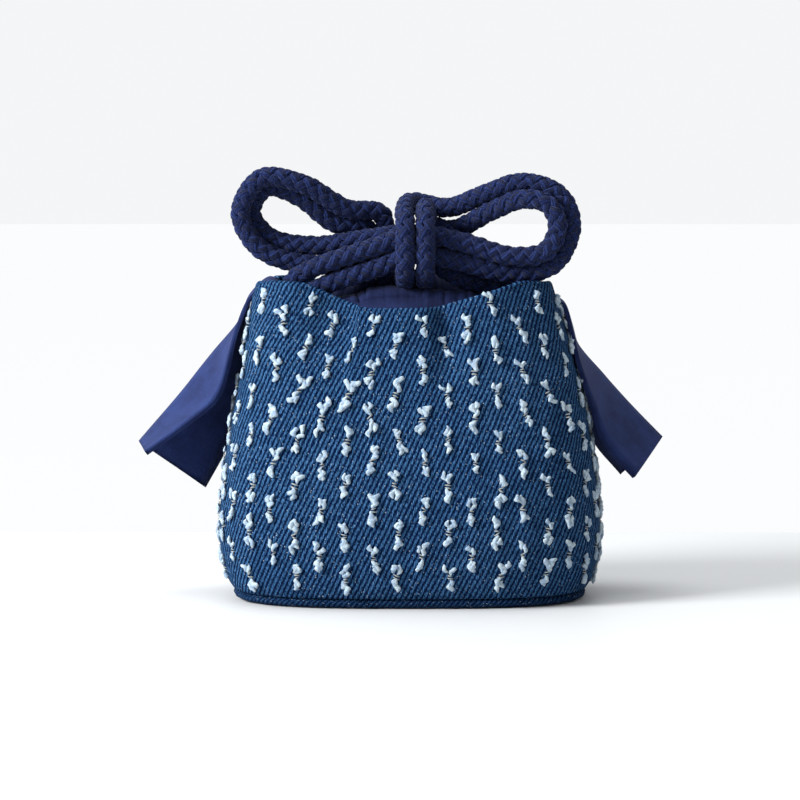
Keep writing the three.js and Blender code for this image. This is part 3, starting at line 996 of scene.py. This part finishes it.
def gathers(x, turn, seed):
    """Pleats that run round the casing, sharper on their crests than in their hollows."""
    bunch = x + 1.1 * ripple(x, turn * 4, seed, 21) + 0.5 * turn
    broad, fine = np.abs(np.sin(TURN * bunch / 7.4)), np.abs(np.sin(TURN * bunch / 4.7 + 1))
    wave = 0.6 * broad**0.8 + 0.4 * fine**0.8
    return wave + 0.35 * ripple(x, turn * 5, seed + 5, 5)


def collar_swell(x, front):
    """The broad smooth folds that stand up in the middle of a collar."""
    if not front:
        return 4.6 * bump_at(x, -2, 26)
    return 1.7 * smoothstep(x, -13.6, -12.4) * (1 - smoothstep(x, -8, 10)) + 0.8 * bump_at(x, 17, 5)


def make_collar(front, material):
    side = -1 if front else 1
    seed = SEED + 40 + front
    rows = []
    x = np.linspace(-COLLAR_LENGTH, COLLAR_LENGTH, COLLAR_COLUMNS)
    height = CASING_HEIGHT - CASING_SAG * (x / COLLAR_LENGTH) ** 2
    swell = collar_swell(x, front)
    smooth = 1 - 0.75 * smoothstep(x, -14, -12) * (1 - smoothstep(x, 3, 7)) if front else 0.85
    for drop, inward in COLLAR_SKIRT:
        depth = inside_depth(x, height - drop, front, DENIM + 1.3) - COLLAR / 2 - inward
        pucker = 0.3 * smooth * (gathers(x, 0.2 * drop, seed) - 0.5)
        rows.append(np.stack([x, side * (depth - np.abs(pucker)), height - drop], axis=-1))
    for degrees in np.linspace(30, 350, CASING_ROWS):
        turn = math.radians(degrees)
        lift = 1.05 * smooth * gathers(x, turn, seed) + swell * max(math.sin(turn), 0)
        lift = lift * smoothstep(degrees, -20, 60) * (1 - smoothstep(degrees, 190, 260))
        radius = CASING_RADIUS + lift * (1 if degrees < 150 else 0.35)
        depth = CASING_OFFSET + radius * math.cos(turn) * (1 if degrees > 90 else 0.9)
        rows.append(np.stack([x, side * depth, height + radius * math.sin(turn)], axis=-1))
    grid = np.stack(rows).transpose(1, 0, 2)
    points, faces, cloth = two_faced(grid, COLLAR)
    name = "front_collar" if front else "back_collar"
    piece = add_piece("gathered_" + name, points, faces, material, {"cloth": cloth})
    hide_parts(name)


# ---------------------------------------------------------------- tabs

TAB = 1.3
TAB_ROWS = 90
TAB_COLUMNS = 15
TAB_SPAN_STEPS = 20
TAB_LENGTH = 75
TAB_FREE = (26, 45)             # along the tab, where it leaves the rim and hangs free
TAB_SAG = 0.55
TAB_BELLY = 0.8
TAB_SLIT = 0.9
FOLD_SOFTNESS = 0.02

LEFT_TAB = {
    "spine": [
        (-42, 6, 80), (-41.8, 6, 91), (-41.4, 6, 97.2), (-43.6, 6, 98.6), (-49.4, 6, 93.4),
        (-52.9, 6, 85.6), (-60.4, 6.5, 76), (-68.5, 7, 66.2), (-77, 7.5, 56.5), (-85, 8, 47),
    ],
    "front": [
        (-42, -3, 80), (-41.8, -3, 90), (-41.8, -2, 94.6), (-44, -1.4, 96), (-49.6, -1.6, 92.6),
        (-53.4, -6, 83.6), (-56, -9, 72.5), (-59.6, -9.5, 62), (-69, -8, 53.4), (-81.6, -6, 44.4),
    ],
    "back": [
        (-42, 10.5, 80), (-41.8, 10, 90), (-41.8, 9.5, 95), (-44, 9, 96.2), (-49.6, 9, 92.8),
        (-50.8, 13.5, 83.6), (-50.6, 18, 72), (-52.6, 20, 60), (-57, 20, 46.5), (-65, 17.5, 31.5),
    ],
}
RIGHT_TAB = {
    "spine": [
        (41.8, 6, 80), (41.6, 6, 87), (41.8, 6, 91), (44, 6, 92.4), (47.4, 6, 91),
        (49.6, 6.4, 85.6), (51.8, 7, 78.4), (61, 8, 67.8), (70.4, 9, 57.6), (79.4, 10, 48),
    ],
    "front": [
        (41.8, -3, 80), (41.6, -3, 87), (41.8, -2, 90.4), (44, -1.6, 91.6), (47.4, -1.8, 90.8),
        (50.2, -6, 83), (52.6, -9, 72), (56, -10, 59), (60.4, -9.5, 47.6), (69.7, -8, 37.5),
    ],
    "back": [
        (41.8, 10.5, 80), (41.6, 10, 87), (41.8, 9.5, 90.8), (44, 9, 92.2), (47.4, 9, 91.2),
        (50.2, 12, 83), (52.2, 16, 72), (54.4, 20, 59), (58.6, 22.5, 46), (67.5, 23, 35),
    ],
}


def even_share(line, count):
    run = np.linspace(0, len(line) - 1, count)
    return np.stack([np.interp(run, np.arange(len(line)), line[:, k]) for k in range(3)], axis=1)


def make_tab(name, lines, seed, material):
    front, spine, back = (
        even_share(smooth_curve(lines[key], TAB_SPAN_STEPS), TAB_ROWS) for key in ("front", "spine", "back")
    )
    share = np.linspace(-1, 1, TAB_COLUMNS)
    soft = np.sqrt(share**2 + FOLD_SOFTNESS) - math.sqrt(FOLD_SOFTNESS)
    soft = soft / soft[0]
    grid = np.empty((TAB_ROWS, TAB_COLUMNS, 3))
    for k, (place, away) in enumerate(zip(share, soft)):
        edge = front if place < 0 else back
        grid[:, k] = spine + (edge - spine) * away
    normal = grid_normals(grid)
    along = np.linspace(0, TAB_LENGTH, TAB_ROWS)[:, None]
    free = smoothstep(along, *TAB_FREE)
    sag = TAB_SAG * ripple(along, share[None, :] * 14, seed, 24) * free
    belly = TAB_BELLY * np.sin(math.pi * np.abs(share))[None, :] * free
    grid = grid + normal * (sag - belly * 0.4)[..., None]
    points, faces, cloth = two_faced(grid, TAB, slit=TAB_SLIT)
    piece = add_piece("folded_" + name, points, faces, material, {"cloth": cloth})
    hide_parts(name)


# ---------------------------------------------------------------- the scene

def make_floor():
    corners = [
        (-FLOOR_SIZE, -FLOOR_SIZE, 0),
        (FLOOR_SIZE, -FLOOR_SIZE, 0),
        (FLOOR_SIZE, FLOOR_END, 0),
        (-FLOOR_SIZE, FLOOR_END, 0),
    ]
    material = floor_material("floor", FLOOR_TONE)
    make_mesh("floor", corners, [(0, 1, 2, 3)], material, smooth=False)
    beyond = [(x, y + FLOOR_END + FLOOR_SIZE, z) for x, y, z in corners]
    beyond[:2] = [(-FLOOR_SIZE, FLOOR_END, 0), (FLOOR_SIZE, FLOOR_END, 0)]
    glow = {"Emission_Color": (*SURROUND, 1), "Emission_Strength": FAR_FLOOR_GLOW}
    pale = Shader("far_floor", 1, Base_Color=(0, 0, 0, 1), **glow)
    make_mesh("far_floor", beyond, [(0, 1, 2, 3)], pale.material, smooth=False)


make_camera()
navy_cord = cord_material()
make_drawstring("braided_front_drawstring", -1, navy_cord)
make_drawstring("braided_back_drawstring", 1, navy_cord)
make_lights()
make_surround()
make_floor()

denim = denim_material("tufted_denim")
base_denim = denim_material("base_denim", contrast=0.55, tone=0.7)
navy_cotton = cotton_material("navy_cotton", (0.008, 0.014, 0.06), (0.02, 0.038, 0.14))
# The collar is the tabs' navy cotton at about six tenths of its brightness: painted shade of the mouth under
# the knot.
shaded_collar_cotton = cotton_material("shaded_collar_cotton", (0.005, 0.0085, 0.036), (0.013, 0.022, 0.085))
lining_cotton = cotton_material("lining_cotton", (0.01, 0.014, 0.045), (0.022, 0.032, 0.1), 2.2)
tuft_yarn = tuft_material()

front_panel, back_panel = Panel(True), Panel(False)
make_wall((front_panel, back_panel), denim)
make_tufts(front_panel, "front_tufts", tuft_yarn)
make_tufts(back_panel, "back_tufts", tuft_yarn)
make_base(base_denim)
make_lining(lining_cotton)
make_collar(True, shaded_collar_cotton)
make_collar(False, shaded_collar_cotton)
make_tab("left_tab", LEFT_TAB, SEED + 60, navy_cotton)
make_tab("right_tab", RIGHT_TAB, SEED + 61, navy_cotton)
